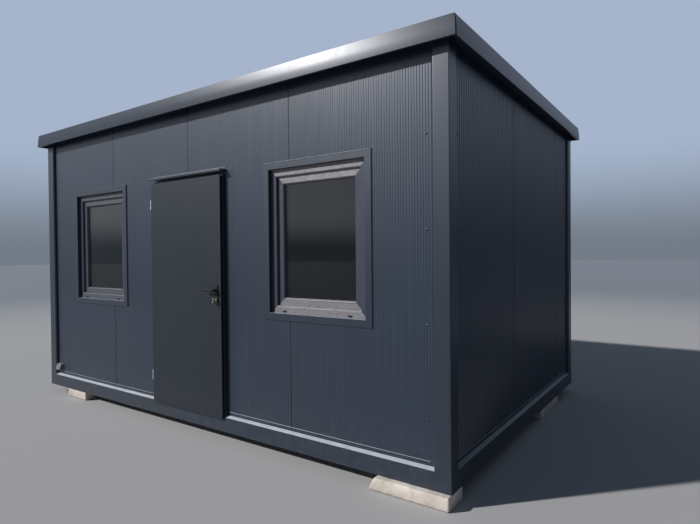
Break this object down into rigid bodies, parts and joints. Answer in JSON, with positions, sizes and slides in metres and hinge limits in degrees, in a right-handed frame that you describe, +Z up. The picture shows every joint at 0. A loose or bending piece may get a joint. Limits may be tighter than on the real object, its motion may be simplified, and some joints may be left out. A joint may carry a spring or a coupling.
{
  "type": "portable site cabin",
  "caption": "Portable site cabin: a steel frame on concrete blocks with sandwich panel walls, two windows, an outward opening door and a flat roof behind a deep fascia.",
  "frame": {"origin": "on the ground, under the middle of the cabin", "axes": "+X along the front wall to the right as seen from outside, +Y from the front to the rear, +Z up"},
  "size_m": [5.15, 3.45, 2.96],
  "materials": {
    "concrete": "cast, matt",
    "steel_frame": "anthracite satin paint",
    "wall_panel": "anthracite coil coating",
    "fascia": "anthracite satin paint",
    "roof_sheet": "grey coil coating",
    "interior_trim": "white coil coating",
    "floor_board": "film-faced board",
    "joist_steel": "galvanised",
    "door": "anthracite satin paint",
    "galvanised": "zinc plated",
    "window_profile": "anthracite foil with a fine grain",
    "glass": "clear double glazing",
    "black_plastic": "matt black",
    "lock_steel": "nickel plated",
    "key_brass": "worn",
    "inlet_plastic": "light grey"
  },
  "bodies": {
    "cabin": {"front_right_block": "concrete", "front_left_block": "concrete", "rear_right_block": "concrete", "rear_left_block": "concrete", "front_base_beam": "steel_frame", "front_drip_rail": "steel_frame", "front_roof_beam": "steel_frame", "front_fascia": "fascia", "rear_base_beam": "steel_frame", "rear_drip_rail": "steel_frame", "rear_roof_beam": "steel_frame", "rear_fascia": "fascia", "left_base_beam": "steel_frame", "left_drip_rail": "steel_frame", "left_roof_beam": "steel_frame", "left_fascia": "fascia", "right_base_beam": "steel_frame", "right_drip_rail": "steel_frame", "right_roof_beam": "steel_frame", "right_fascia": "fascia", "front_left_post": "steel_frame", "front_right_post": "steel_frame", "rear_left_post": "steel_frame", "rear_right_post": "steel_frame", "underfloor_sheet": "joist_steel", "floor_joists": "joist_steel", "floor_deck": "floor_board", "front_panel_1": "wall_panel", "front_panel_2": "wall_panel", "front_panel_3": "wall_panel", "front_panel_4": "wall_panel", "rear_wall_panels": "wall_panel", "left_wall_panels": "wall_panel", "right_wall_panels": "wall_panel", "roof_panels": "roof_sheet", "ceiling_trim": "interior_trim", "left_window_trim": "steel_frame", "left_window_frame": "window_profile", "left_window_sash": "window_profile", "left_window_glass": "glass", "right_window_trim": "steel_frame", "right_window_frame": "window_profile", "right_window_sash": "window_profile", "right_window_glass": "glass", "window_handles": "interior_trim", "door_frame": "door", "door_cap": "steel_frame", "hinge_posts": "galvanised", "power_inlet": "inlet_plastic"},
    "door": {"door_leaf": "door", "hinge_caps": "galvanised", "door_plates": "black_plastic", "lock_cylinder": "lock_steel", "keys": "key_brass"},
    "lever": {"lever_handles": "black_plastic"}
  },
  "joints": [
    {"name": "door_swing", "type": "hinge", "parent": "cabin", "child": "door", "pos_m": [-0.49, -1.6625, 1.2], "axis": [0, 0, -1], "range_deg": [0, 110]},
    {"name": "lever_turn", "type": "hinge", "parent": "door", "child": "lever", "pos_m": [0.42, -1.67, 1.27], "axis": [0, -1, 0], "range_deg": [0, 40], "stiffness_Nm_per_rad": 1.2, "springref_deg": -22.92}
  ]
}
